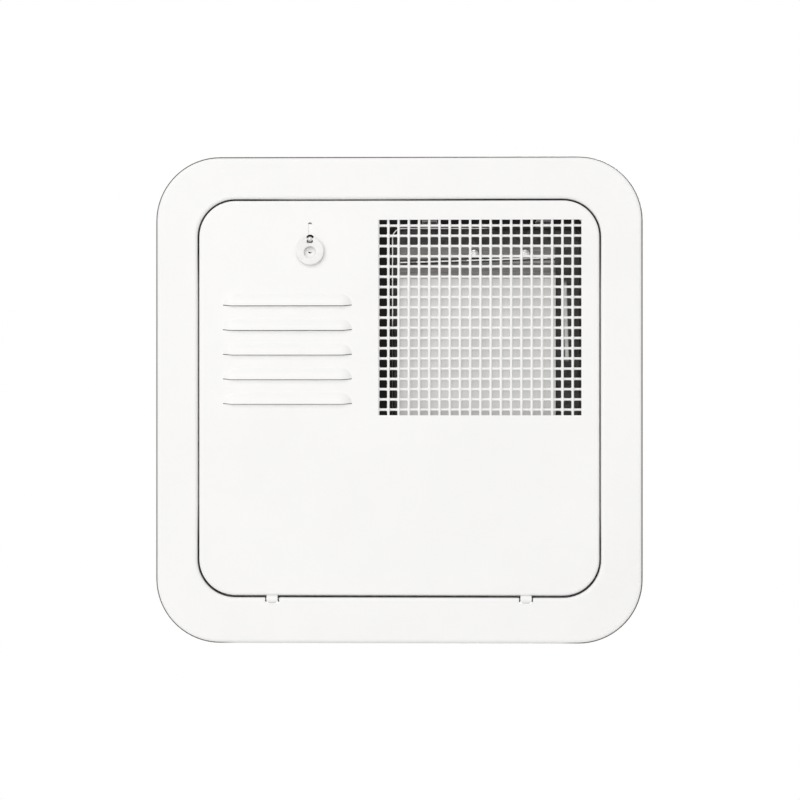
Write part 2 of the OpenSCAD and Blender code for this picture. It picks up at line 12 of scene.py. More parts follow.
import bpy
import bmesh
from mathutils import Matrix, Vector


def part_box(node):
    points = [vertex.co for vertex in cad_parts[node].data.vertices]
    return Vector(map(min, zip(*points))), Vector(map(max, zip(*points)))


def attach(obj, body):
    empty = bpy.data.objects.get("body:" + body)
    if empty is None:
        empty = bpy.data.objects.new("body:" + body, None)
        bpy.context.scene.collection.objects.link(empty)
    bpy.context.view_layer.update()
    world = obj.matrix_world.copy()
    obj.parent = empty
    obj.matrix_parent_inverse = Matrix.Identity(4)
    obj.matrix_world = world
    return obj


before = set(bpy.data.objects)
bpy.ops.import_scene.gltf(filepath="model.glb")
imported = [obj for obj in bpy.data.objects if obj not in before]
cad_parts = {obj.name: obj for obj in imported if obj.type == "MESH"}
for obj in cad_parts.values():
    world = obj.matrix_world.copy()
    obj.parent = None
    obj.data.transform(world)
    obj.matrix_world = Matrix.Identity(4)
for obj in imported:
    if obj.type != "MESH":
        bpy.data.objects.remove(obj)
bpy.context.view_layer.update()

log = logging.getLogger("access_door")

Socket = bpy.types.NodeSocket
Colour = tuple[float, float, float]
Ways = tuple[float, float, float]
Span = tuple[float, float]


class Body(Enum):
    """Rigid bodies of the CAD model that pieces ride on."""

    FRAME = "frame"
    DOOR = "door"
    LATCH = "latch"
    RING = "ring"


class Slot(Enum):
    """Material slots of the record."""

    WHITE_PAINT = "white_paint"
    FOAM = "foam"
    ZINC = "zinc"
    ALLOY = "alloy"
    NYLON = "nylon"


class Side(Enum):
    """Sides of the door, as they stand in the names of CAD nodes."""

    TOP = "top"
    BOTTOM = "bottom"
    LEFT = "left"
    RIGHT = "right"


class Axis(Enum):
    """Axes of the shared frame."""

    X = "X"
    Y = "Y"
    Z = "Z"


class Sum(Enum):
    """Sums that a math node works out."""

    TOTAL = "ADD"
    DIFFERENCE = "SUBTRACT"
    PRODUCT = "MULTIPLY"
    LARGER = "MAXIMUM"
    SMALLER = "MINIMUM"
    IS_MORE = "GREATER_THAN"
    IS_LESS = "LESS_THAN"
    SIZE = "ABSOLUTE"
    ROOT = "SQRT"


# Finishes


@dataclass(frozen=True)
class Lumps:
    """A noise: its lumps per metre, its octaves and the strength of the finer ones."""

    per_metre: float
    octaves: float = 2.0
    fineness: float = 0.5


@dataclass(frozen=True)
class Relief:
    """How much of a relief shows, and its depth in metres."""

    strength: float
    depth: float


class Graph:
    """Node tree of a material or a world, put together a step at a time.

    The Mix node names its sockets alike for numbers and colours, so those of the colours go by place.
    """

    COLOURS_IN = (6, 7)
    COLOUR_OUT = 2

    def __init__(self, owner: bpy.types.Material | bpy.types.World) -> None:
        """Starts an empty tree.

        Args:
            owner: The new material or world.
        """
        owner.use_nodes = True
        self.owner = owner
        self.tree = owner.node_tree
        self.tree.nodes.clear()
        kind = "Material" if isinstance(owner, bpy.types.Material) else "World"
        self.output = self.tree.nodes.new(f"ShaderNodeOutput{kind}")

    def node(self, kind: str, **settings: object) -> bpy.types.Node:
        """Adds a node.

        Args:
            kind: Blender's name of the node's type.
            **settings: Properties to set on the node.

        Returns:
            The new node.
        """
        made = self.tree.nodes.new(kind)
        for key, value in settings.items():
            setattr(made, key, value)
        return made

    def link(self, source: Socket, target: Socket) -> None:
        """Joins an output to an input."""
        self.tree.links.new(source, target)

    def place(self, stretch: Ways = (1, 1, 1)) -> Socket:
        """Gives Object coordinates, in metres, with each axis scaled.

        Args:
            stretch: Scale of each axis.

        Returns:
            The vector socket.
        """
        coordinates = self.node("ShaderNodeTexCoord")
        mapping = self.node("ShaderNodeMapping")
        mapping.inputs["Scale"].default_value = stretch
        self.link(coordinates.outputs["Object"], mapping.inputs["Vector"])
        return mapping.outputs["Vector"]

    def axis(self, axis: Axis) -> Socket:
        """Gives the position along one axis, in metres."""
        split = self.node("ShaderNodeSeparateXYZ")
        self.link(self.place(), split.inputs[0])
        return split.outputs[axis.value]

    def sum(self, kind: Sum, first: Socket, second: Socket | float = 0.0) -> Socket:
        """Works out a sum.

        Args:
            kind: Which sum.
            first: First value.
            second: Second value, where the sum takes two.

        Returns:
            The result.
        """
        made = self.node("ShaderNodeMath", operation=kind.value)
        self.link(first, made.inputs[0])
        if isinstance(second, float):
            made.inputs[1].default_value = second
        else:
            self.link(second, made.inputs[1])
        return made.outputs[0]

    def product(self, first: Socket, *others: Socket) -> Socket:
        """Multiplies values.

        Args:
            first: First value.
            *others: The others.

        Returns:
            The product.
        """
        for other in others:
            first = self.sum(Sum.PRODUCT, first, other)
        return first

    def add(self, first: Socket, second: Socket, share: float) -> Socket:
        """Adds a share of a value to another value.

        Args:
            first: Value that is kept whole.
            second: Value of which a share is added.
            share: The share.

        Returns:
            The sum's socket.
        """
        made = self.node("ShaderNodeMath", operation="MULTIPLY_ADD")
        self.link(second, made.inputs[0])
        made.inputs[1].default_value = share
        self.link(first, made.inputs[2])
        return made.outputs[0]

    def spread(self, value: Socket, result: Span, source: Span = (0.0, 1.0)) -> Socket:
        """Maps a range of values to another one.

        Args:
            value: Socket that is read.
            result: Results at the two ends.
            source: The two ends of what is read.

        Returns:
            The result's socket, held within the two results.
        """
        made = self.node("ShaderNodeMapRange")
        self.link(value, made.inputs["Value"])
        ends = {"From Min": source[0], "From Max": source[1], "To Min": result[0], "To Max": result[1]}
        for key, end in ends.items():
            made.inputs[key].default_value = end
        return made.outputs["Result"]

    def rise(self, value: Socket, source: Span = (0.0, 1.0)) -> Socket:
        """Runs from nought at a range's start to one at its end."""
        return self.spread(value, (0.0, 1.0), source)

    def fall(self, value: Socket, source: Span = (0.0, 1.0)) -> Socket:
        """Runs from one at a range's start to nought at its end."""
        return self.spread(value, (1.0, 0.0), source)

    def noise(self, vector: Socket, lumps: Lumps) -> Socket:
        """Adds noise.

        Args:
            vector: Coordinates that it reads.
            lumps: Its scale and octaves.

        Returns:
            The factor socket.
        """
        made = self.node("ShaderNodeTexNoise")
        self.link(vector, made.inputs["Vector"])
        made.inputs["Scale"].default_value = lumps.per_metre
        made.inputs["Detail"].default_value = lumps.octaves
        made.inputs["Roughness"].default_value = lumps.fineness
        return made.outputs["Fac"]

    def cells(self, vector: Socket, per_metre: float, output: str = "Distance") -> Socket:
        """Adds Voronoi cells.

        Args:
            vector: Coordinates that it reads.
            per_metre: Cells per metre.
            output: Output that is wanted.

        Returns:
            The wanted socket.
        """
        made = self.node("ShaderNodeTexVoronoi")
        self.link(vector, made.inputs["Vector"])
        made.inputs["Scale"].default_value = per_metre
        return made.outputs[output]

    def mix(self, factor: Socket, first: Colour | Socket, second: Colour | Socket) -> Socket:
        """Mixes two colours.

        Args:
            factor: How much of the second colour.
            first: Colour, or a socket that gives it.
            second: Colour, or a socket that gives it.

        Returns:
            The colour socket.
        """
        made = self.node("ShaderNodeMix", data_type="RGBA")
        self.link(factor, made.inputs[0])
        for place, value in zip(self.COLOURS_IN, (first, second)):
            if isinstance(value, tuple):
                made.inputs[place].default_value = (*value, 1.0)
            else:
                self.link(value, made.inputs[place])
        return made.outputs[self.COLOUR_OUT]

    def bump(self, height: Socket, relief: Relief) -> Socket:
        """Makes relief from a height.

        Args:
            height: Height, from 0 to 1.
            relief: Its strength and depth.

        Returns:
            The normal's socket.
        """
        made = self.node("ShaderNodeBump")
        self.link(height, made.inputs["Height"])
        made.inputs["Strength"].default_value = relief.strength
        made.inputs["Distance"].default_value = relief.depth
        return made.outputs["Normal"]

    def shade(self, colour: Socket, roughness: Socket, normal: Socket, **fixed: float) -> bpy.types.Material:
        """Ends the tree with a Principled shader.

        Args:
            colour: Base colour.
            roughness: Roughness.
            normal: Normal with its relief.
            **fixed: Values of the shader's own sockets, by name, with _ for each space.

        Returns:
            The finished material.
        """
        shader = self.node("ShaderNodeBsdfPrincipled")
        for key, value in fixed.items():
            shader.inputs[key.replace("_", " ")].default_value = value
        self.link(colour, shader.inputs["Base Color"])
        self.link(roughness, shader.inputs["Roughness"])
        self.link(normal, shader.inputs["Normal"])
        self.link(shader.outputs["BSDF"], self.output.inputs["Surface"])
        return self.owner

    def choose(self, factor: Socket, first: Socket, second: Socket) -> None:
        """Ends the tree with one of two shaders.

        Args:
            factor: Nought for the first, one for the second.
            first: First shader.
            second: Second shader.
        """
        made = self.node("ShaderNodeMixShader")
        for socket, source in zip(made.inputs, (factor, first, second)):
            self.link(source, socket)
        self.link(made.outputs["Shader"], self.output.inputs["Surface"])


@dataclass(frozen=True)
class Outline:
    """Rounded outline in the wall's plane, even about X zero, which the painted shade follows."""

    side: float
    foot: float
    top: float
    corner: float

    @classmethod
    def around(cls, node: str, corner: float, gap: float = 0.0, foot_gap: float = 0.0) -> "Outline":
        """Fits an outline round a CAD node.

        Args:
            node: Name of the node.
            corner: Radius of the outline's corners.
            gap: Room at its sides and top.
            foot_gap: Room at its foot.

        Returns:
            The outline.
        """
        low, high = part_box(node)
        return cls(high.x + gap, low.z - foot_gap, high.z + gap, corner)

    @property
    def middle(self) -> float:
        """Height of its middle."""
        return (self.foot + self.top) / 2

    def reach(self, g: Graph) -> Socket:
        """Measures how far a place lies outside the box through the corners' centres.

        Args:
            g: The graph of the finish.

        Returns:
            The distance, which is the corners' radius all along the outline.
        """
        ways = (g.axis(Axis.X), g.sum(Sum.DIFFERENCE, g.axis(Axis.Z), self.middle))
        halves = (self.side, self.top - self.middle)
        squares = []
        for way, half in zip(ways, halves):
            beyond = g.sum(Sum.DIFFERENCE, g.sum(Sum.SIZE, way), half - self.corner)
            beyond = g.sum(Sum.LARGER, beyond, 0.0)
            squares.append(g.product(beyond, beyond))
        return g.sum(Sum.ROOT, g.sum(Sum.TOTAL, *squares))


@dataclass(frozen=True)
class Enamel:
    """Baked white paint on pressed steel: very faint mottle, orange peel and a soft gloss."""

    name: str = "baked_enamel"
    light: Colour = (0.93, 0.925, 0.915)
    shade: Colour = (0.905, 0.9, 0.888)
    mottle: Lumps = Lumps(9.0, 4.0, 0.6)
    mottle_span: Span = (0.35, 0.7)
    peel: Lumps = Lumps(900.0, 2.0, 0.4)
    waves: Lumps = Lumps(120.0)
    waves_share: float = 0.6
    relief: Relief = Relief(0.35, 0.00004)
    dulling: Lumps = Lumps(60.0, 3.0, 0.6)
    dulling_span: Span = (0.3, 0.7)
    roughness: Span = (0.36, 0.48)

    def material(self) -> bpy.types.Material:
        """Builds the paint."""
        g = Graph(bpy.data.materials.new(self.name))
        place = g.place()
        mottle = g.rise(g.noise(place, self.mottle), self.mottle_span)
        colour = self.painted_light(g, g.mix(mottle, self.light, self.shade))
        height = g.add(g.noise(place, self.peel), g.noise(place, self.waves), self.waves_share)
        roughness = g.spread(g.noise(place, self.dulling), self.roughness, self.dulling_span)
        return g.shade(colour, roughness, g.bump(height, self.relief),
                       Coat_Weight=0.06, Coat_Roughness=0.3, IOR=1.42, Specular_IOR_Level=0.3)

    def painted_light(self, g: Graph, colour: Socket) -> Socket:
        """Paints no light or shade: the paint stays clean."""
        return colour


@dataclass(frozen=True)
class RimEnamel(Enamel):
    """The trim frame's enamel.

    It carries painted shade: a dark line along the turn of the outer rim, and a dark gap round
    the opening's foot, its corners and the right part of its head.
    """

    name: str = "rim_enamel"
    rim_corner: float = 0.051
    # Painted shade: the dark line along the outer rim's turn.
    turn_shade: Colour = (0.085, 0.083, 0.081)
    edge_run: float = 0.00076
    front_run: float = 0.00116
    front_from: float = -0.0040
    turn_depth: Span = (-0.0030, -0.0024)
    foot_fade: Span = (0.128, 0.146)
    opening_corner: float = 0.03
    gap: float = 0.0013
    foot_gap: float = 0.0017
    # Painted shade: the dark in the gap round the door.
    gap_shade: Colour = (0.05, 0.048, 0.045)
    gap_shade_reach: float = 0.0004
    gap_shade_depth: Span = (-0.0046, -0.0022)
    gap_shade_end: float = 0.0106
    corner_fade: Span = (0.085, 0.115)
    foot_climb: Span = (0.0056, 0.0186)
    head_climb: Span = (-0.0232, -0.0032)
    head_fade: Span = (-0.02, 0.07)

    def painted_light(self, g: Graph, colour: Socket) -> Socket:
        """Paints shade along the rim's turn and in the gap.

        Args:
            g: The graph of the paint.
            colour: The clean paint's colour.

        Returns:
            The colour with its wear.
        """
        # Painted shade along the outer rim's turn.
        colour = g.mix(self.shaded_turn(g), colour, self.turn_shade)
        # Painted shade in the gap round the door.
        return g.mix(self.shaded_gap(g), colour, self.gap_shade)

    def shaded_turn(self, g: Graph) -> Socket:
        """Marks the painted shade line where the outer rim turns to the wall, save for the straight run at
        the foot.

        Args:
            g: The graph of the paint.

        Returns:
            One on the line, nought elsewhere.
        """
        rim = Outline.around("trim_frame", self.rim_corner)
        reach = rim.reach(g)
        front = g.product(g.sum(Sum.IS_MORE, reach, rim.corner - self.front_run),
                          g.sum(Sum.IS_LESS, g.axis(Axis.Y), self.front_from))
        edge = g.sum(Sum.LARGER, front, g.sum(Sum.IS_MORE, reach, rim.corner - self.edge_run))
        beside_foot = g.rise(g.sum(Sum.SIZE, g.axis(Axis.X)), self.foot_fade)
        off_foot = g.sum(Sum.LARGER, beside_foot, g.sum(Sum.IS_MORE, g.axis(Axis.Z), rim.middle))
        return g.product(edge, g.fall(g.axis(Axis.Y), self.turn_depth), off_foot)

    def shaded_gap(self, g: Graph) -> Socket:
        """Marks the painted shade on the opening's inner faces, back to the stop ledge, at its foot, corners
        and upper right.

        Args:
            g: The graph of the paint.

        Returns:
            One on those faces, nought elsewhere.
        """
        opening = Outline.around("door_panel", self.opening_corner, self.gap, self.foot_gap)
        inside = g.sum(Sum.IS_LESS, opening.reach(g), opening.corner + self.gap_shade_reach)
        ahead = g.sum(Sum.IS_LESS, g.axis(Axis.Y), self.gap_shade_end)
        deep = g.rise(g.axis(Axis.Y), self.gap_shade_depth)
        across = g.sum(Sum.SIZE, g.axis(Axis.X))
        up = g.sum(Sum.SIZE, g.sum(Sum.DIFFERENCE, g.axis(Axis.Z), opening.middle))
        corners = g.rise(g.sum(Sum.SMALLER, across, up), self.corner_fade)
        foot = g.fall(g.sum(Sum.DIFFERENCE, g.axis(Axis.Z), opening.foot), self.foot_climb)
        climb = g.sum(Sum.DIFFERENCE, g.axis(Axis.Z), opening.top)
        head = g.product(g.rise(climb, self.head_climb), g.rise(g.axis(Axis.X), self.head_fade))
        where = g.sum(Sum.LARGER, corners, g.sum(Sum.LARGER, foot, head))
        return g.product(inside, ahead, where, deep)


@dataclass(frozen=True)
class DippedEnamel:
    """White paint that was dipped on the wires: thicker, with small runs along them."""

    name: str = "dipped_enamel"
    light: Colour = (0.93, 0.925, 0.915)
    shade: Colour = (0.86, 0.855, 0.84)
    runs: Lumps = Lumps(160.0, 3.0, 0.6)
    runs_span: Span = (0.5, 0.8)
    sags: Lumps = Lumps(420.0, 2.0, 0.4)
    peel: Lumps = Lumps(1400.0, 1.0, 0.4)
    peel_share: float = 0.3
    relief: Relief = Relief(0.5, 0.00012)
    dulling: Lumps = Lumps(90.0)
    roughness: Span = (0.32, 0.46)

    def material(self) -> bpy.types.Material:
        """Builds the paint."""
        g = Graph(bpy.data.materials.new(self.name))
        place = g.place()
        colour = g.mix(g.rise(g.noise(place, self.runs), self.runs_span), self.light, self.shade)
        height = g.add(g.noise(place, self.sags), g.noise(place, self.peel), self.peel_share)
        roughness = g.spread(g.noise(place, self.dulling), self.roughness)
        return g.shade(colour, roughness, g.bump(height, self.relief),
                       Coat_Weight=0.2, Coat_Roughness=0.25, IOR=1.5)


@dataclass(frozen=True)
class Galvanised:
    """Hot-dipped sheet, dulled by heat: spangles, a few stains and drawing marks."""

    name: str = "galvanised_sheet"
    light: Colour = (0.3, 0.295, 0.29)
    shade: Colour = (0.17, 0.166, 0.162)
    stain: Colour = (0.1, 0.094, 0.088)
    spangles_per_metre: float = 170.0
    spangle_span: Span = (0.15, 0.85)
    stains: Lumps = Lumps(26.0, 5.0, 0.65)
    stain_share: Span = (0.0, 0.7)
    stain_span: Span = (0.52, 0.75)
    marks_per_metre: Ways = (30.0, 30.0, 1200.0)
    marks: Lumps = Lumps(1.0, 3.0, 0.6)
    marks_share: float = 0.5
    spangle_share: float = 0.4
    relief: Relief = Relief(0.25, 0.00003)
    roughness: Span = (0.42, 0.6)

    def material(self) -> bpy.types.Material:
        """Builds the metal."""
        g = Graph(bpy.data.materials.new(self.name))
        place = g.place()
        spangle = g.rise(g.cells(place, self.spangles_per_metre, "Color"), self.spangle_span)
        stains = g.spread(g.noise(place, self.stains), self.stain_share, self.stain_span)
        colour = g.mix(stains, g.mix(spangle, self.shade, self.light), self.stain)
        marks = g.noise(g.place(self.marks_per_metre), self.marks)
        dulling = g.add(spangle, marks, self.marks_share)
        roughness = g.spread(dulling, self.roughness, (0.0, 1.0 + self.marks_share))
        height = g.add(marks, spangle, self.spangle_share)
        return g.shade(self.painted_light(g, colour), roughness, g.bump(height, self.relief), Metallic=0.9)

    def painted_light(self, g: Graph, colour: Socket) -> Socket:
        """Paints no light or shade: the sheet stays as it is."""
        return colour


@dataclass(frozen=True)
class ShieldSheet(Galvanised):
    """The heat shield's sheet, darkened as painted shade of the space behind the grille.

    The front of its rim carries a painted highlight near the upper left corner, and a thin upright
    streak on its face is a painted highlight.
    """

    name: str = "shield_sheet"
    # These dark colours are painted shade of the space behind the grille.
    light: Colour = (0.085, 0.083, 0.081)
    shade: Colour = (0.04, 0.039, 0.038)
    stain: Colour = (0.025, 0.024, 0.022)
    # Painted highlight on the rim's front, near its upper left corner.
    painted_highlight: Colour = (0.88, 0.875, 0.865)
    highlight_depth: Span = (0.0008, 0.0016)
    highlight_corner: Span = (-0.245, -0.235)
    wander: Lumps = Lumps(90.0)
    wander_depth: float = 0.0006
    # Painted highlight along a thin upright streak on the shield's face.
    streak_highlight: Colour = (0.66, 0.655, 0.64)
    streak_at: float = 0.1403
    streak_lean: float = 0.03
    streak_half: Span = (0.0009, 0.0019)
    streak_foot: Span = (0.2044, 0.209)
    streak_head: Span = (0.263, 0.27)
    half_sheet: float = 0.0004

    def painted_light(self, g: Graph, colour: Socket) -> Socket:
        """Paints a highlight on the rim's front and on the streak.

        Args:
            g: The graph of the metal.
            colour: The sheet's own colour.

        Returns:
            The colour with its wear.
        """
        rim_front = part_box("heat_shield")[0].y
        wander = g.add(g.axis(Axis.Y), g.noise(g.place(), self.wander), self.wander_depth)
        front = g.fall(g.sum(Sum.DIFFERENCE, wander, rim_front), self.highlight_depth)
        corner = g.fall(g.sum(Sum.DIFFERENCE, g.axis(Axis.X), g.axis(Axis.Z)), self.highlight_corner)
        # Painted highlight on the rim's front.
        colour = g.mix(g.product(front, corner), colour, self.painted_highlight)
        # Painted highlight along the streak.
        return g.mix(self.streak(g), colour, self.streak_highlight)

    def streak(self, g: Graph) -> Socket:
        """Marks the streak of painted highlight, which leans a little to the right as it goes down.

        Args:
            g: The graph of the metal.

        Returns:
            One on the streak, nought elsewhere.
        """
        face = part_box("heat_shield")[1].y - self.half_sheet
        aside = g.sum(Sum.DIFFERENCE, g.axis(Axis.X), self.streak_at)
        aside = g.sum(Sum.SIZE, g.add(aside, g.axis(Axis.Z), self.streak_lean))
        foot = g.rise(g.axis(Axis.Z), self.streak_foot)
        head = g.fall(g.axis(Axis.Z), self.streak_head)
        ahead = g.sum(Sum.IS_LESS, g.axis(Axis.Y), face)
        return g.product(g.fall(aside, self.streak_half), ahead, foot, head)


@dataclass(frozen=True)
class BrightZinc:
    """Bright zinc plating on turned and formed small parts."""

    name: str = "bright_zinc"
    light: Colour = (0.78, 0.78, 0.77)
    shade: Colour = (0.58, 0.58, 0.57)
    clouds: Lumps = Lumps(240.0, 4.0, 0.6)
    clouds_span: Span = (0.35, 0.7)
    turning_per_metre: Ways = (400.0, 3500.0, 400.0)
    turning: Lumps = Lumps(1.0)
    relief: Relief = Relief(0.25, 0.00002)
    roughness: Span = (0.24, 0.4)

    def material(self) -> bpy.types.Material:
        """Builds the plating."""
        g = Graph(bpy.data.materials.new(self.name))
        clouds = g.rise(g.noise(g.place(), self.clouds), self.clouds_span)
        turning = g.noise(g.place(self.turning_per_metre), self.turning)
        roughness = g.spread(turning, self.roughness)
        return g.shade(g.mix(clouds, self.light, self.shade), roughness, g.bump(turning, self.relief),
                       Metallic=1.0)


@dataclass(frozen=True)
class OiledSteel:
    """Blackened, oiled steel on the spring, washer and hinge clips; on the clips it is also painted shade.
    """

    name: str = "oiled_steel"
    light: Colour = (0.045, 0.044, 0.043)
    shade: Colour = (0.018, 0.018, 0.019)
    blotches: Lumps = Lumps(320.0, 4.0, 0.6)
    blotches_span: Span = (0.35, 0.7)
    grain: Lumps = Lumps(2200.0)
    relief: Relief = Relief(0.3, 0.00002)
    roughness: Span = (0.38, 0.55)

    def material(self) -> bpy.types.Material:
        """Builds the steel."""
        g = Graph(bpy.data.materials.new(self.name))
        place = g.place()
        blotches = g.rise(g.noise(place, self.blotches), self.blotches_span)
        return g.shade(g.mix(blotches, self.light, self.shade), g.spread(blotches, self.roughness),
                       g.bump(g.noise(place, self.grain), self.relief), Metallic=0.55, Coat_Weight=0.15)


@dataclass(frozen=True)
class MillAluminium:
    """Mill-finish aluminium sheet with its rolling grain upright, with painted shade above its flat face.

    The bend between its slope and its upper flange carries a painted highlight in a band of painted shade.
    """

    name: str = "mill_aluminium"
    light: Colour = (0.7, 0.695, 0.685)
    shade: Colour = (0.6, 0.595, 0.585)
    grain_per_metre: Ways = (2600.0, 2600.0, 12.0)
    grain: Lumps = Lumps(1.0, 4.0, 0.65)
    clouds: Lumps = Lumps(20.0, 4.0, 0.6)
    clouds_share: float = 0.8
    clean_span: Span = (0.6, 1.2)
    streaks_per_metre: Ways = (60.0, 60.0, 900.0)
    streaks: Lumps = Lumps(1.0, 3.0, 0.6)
    streaks_span: Span = (0.35, 0.65)
    # Painted shade on the slope and on the upper flange, with faint streaks.
    slope_shade: tuple[Colour, Colour] = ((0.44, 0.43, 0.42), (0.27, 0.262, 0.255))
    flange_shade: tuple[Colour, Colour] = ((0.25, 0.245, 0.238), (0.15, 0.146, 0.14))
    shade_climb: Span = (-0.026, -0.025)
    bend_drop: float = 0.0124
    bend_climb: float = 0.0307
    bend_blend: Span = (-0.0001, 0.0001)
    # Painted shade in a band round the bend.
    bend_shade: Colour = (0.035, 0.034, 0.032)
    bend_shade_half: Span = (0.0014, 0.0028)
    # Painted highlight along the bend, broken up by noise.
    painted_highlight: Colour = (0.96, 0.955, 0.945)
    highlight_half: float = 0.00055
    highlight_breaks: Lumps = Lumps(130.0)
    highlight_breaks_share: Span = (0.25, 1.0)
    highlight_breaks_span: Span = (0.4, 0.5)
    dulling_share: float = 0.5
    dulling_span: Span = (0.4, 1.1)
    relief: Relief = Relief(0.3, 0.000015)
    roughness: Span = (0.36, 0.52)

    def material(self) -> bpy.types.Material:
        """Builds the metal."""
        g = Graph(bpy.data.materials.new(self.name))
        grain = g.noise(g.place(self.grain_per_metre), self.grain)
        clouds = g.noise(g.place(), self.clouds)
        clean = g.rise(g.add(grain, clouds, self.clouds_share), self.clean_span)
        colour = self.painted_light(g, g.mix(clean, self.light, self.shade))
        roughness = g.spread(g.add(grain, clouds, self.dulling_share), self.roughness, self.dulling_span)
        return g.shade(colour, roughness, g.bump(grain, self.relief), Metallic=0.75)

    def painted_light(self, g: Graph, colour: Socket) -> Socket:
        """Paints shade on the slope and the upper flange, and a highlight on the bend between them.

        Args:
            g: The graph of the metal.
            colour: The clean sheet's colour.

        Returns:
            The colour with its wear.
        """
        climb = g.sum(Sum.DIFFERENCE, g.axis(Axis.Z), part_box("instruction_plate")[1].z)
        over_bend = g.sum(Sum.TOTAL, g.add(climb, g.axis(Axis.X), -self.bend_climb), self.bend_drop)
        off_bend = g.sum(Sum.SIZE, over_bend)
        streaks = g.rise(g.noise(g.place(self.streaks_per_metre), self.streaks), self.streaks_span)
        # Painted shade above the flat face.
        painted_shade = g.mix(g.rise(over_bend, self.bend_blend),
                     g.mix(streaks, *self.slope_shade), g.mix(streaks, *self.flange_shade))
        colour = g.mix(g.rise(climb, self.shade_climb), colour, painted_shade)
        # Painted shade round the bend.
        colour = g.mix(g.fall(off_bend, self.bend_shade_half), colour, self.bend_shade)
        # Painted highlight along the bend.
        highlight_breaks = g.spread(g.noise(g.place(), self.highlight_breaks), self.highlight_breaks_share, self.highlight_breaks_span)
        line = g.sum(Sum.IS_LESS, off_bend, self.highlight_half)
        return g.mix(g.product(line, highlight_breaks), colour, self.painted_highlight)


@dataclass(frozen=True)
class MouldedNylon:
    """Milky moulded nylon with a fine eroded grain."""

    name: str = "moulded_nylon"
    light: Colour = (0.88, 0.875, 0.86)
    shade: Colour = (0.82, 0.812, 0.79)
    clouds: Lumps = Lumps(180.0, 3.0, 0.55)
    clouds_span: Span = (0.35, 0.7)
    grain: Lumps = Lumps(3200.0)
    relief: Relief = Relief(0.35, 0.00002)
    roughness: Span = (0.4, 0.55)

    def material(self) -> bpy.types.Material:
        """Builds the plastic."""
        g = Graph(bpy.data.materials.new(self.name))
        place = g.place()
        clouds = g.rise(g.noise(place, self.clouds), self.clouds_span)
        grain = g.noise(place, self.grain)
        return g.shade(g.mix(clouds, self.light, self.shade), g.spread(grain, self.roughness),
                       g.bump(grain, self.relief), IOR=1.53, Sheen_Weight=0.05)


@dataclass(frozen=True)
class CellFoam:
    """Closed-cell foam strip with open cells on its cut faces."""

    name: str = "cell_foam"
    light: Colour = (0.055, 0.057, 0.06)
    shade: Colour = (0.02, 0.021, 0.023)
    cells_per_metre: float = 1500.0
    cells_span: Span = (0.1, 0.7)
    clouds: Lumps = Lumps(70.0, 3.0, 0.6)
    clouds_share: float = 0.4
    relief: Relief = Relief(0.9, 0.0003)
    roughness: Span = (0.95, 0.8)

    def material(self) -> bpy.types.Material:
        """Builds the foam."""
        g = Graph(bpy.data.materials.new(self.name))
        place = g.place()
        cells = g.rise(g.cells(place, self.cells_per_metre), self.cells_span)
        light = g.add(cells, g.noise(place, self.clouds), self.clouds_share)
        return g.shade(g.mix(light, self.shade, self.light), g.spread(cells, self.roughness),
                       g.bump(cells, self.relief), Specular_IOR_Level=0.25)


@dataclass(frozen=True)
class Finishes:
    """The materials, each made once."""

    enamel: bpy.types.Material
    rim: bpy.types.Material
    wires: bpy.types.Material
    galvanised: bpy.types.Material
    shield: bpy.types.Material
    rivets: bpy.types.Material
    zinc: bpy.types.Material
    oiled: bpy.types.Material
    aluminium: bpy.types.Material
    nylon: bpy.types.Material
    foam: bpy.types.Material

    @classmethod
    def make(cls) -> "Finishes":
        """Builds every material."""
        rivets = BrightZinc(name="rivet_metal", light=(0.72, 0.72, 0.715), shade=(0.5, 0.5, 0.495),
                            roughness=(0.1, 0.16))
        return cls(enamel=Enamel().material(), rim=RimEnamel().material(), wires=DippedEnamel().material(),
                   galvanised=Galvanised().material(), shield=ShieldSheet().material(),
                   rivets=rivets.material(), zinc=BrightZinc().material(), oiled=OiledSteel().material(),
                   aluminium=MillAluminium().material(), nylon=MouldedNylon().material(),
                   foam=CellFoam().material())


# Modelling


FRONT_LIMIT = -0.99


def faces_front(normal: Vector) -> bool:
    """Tells whether a face looks straight to the front."""
    return normal.y < FRONT_LIMIT


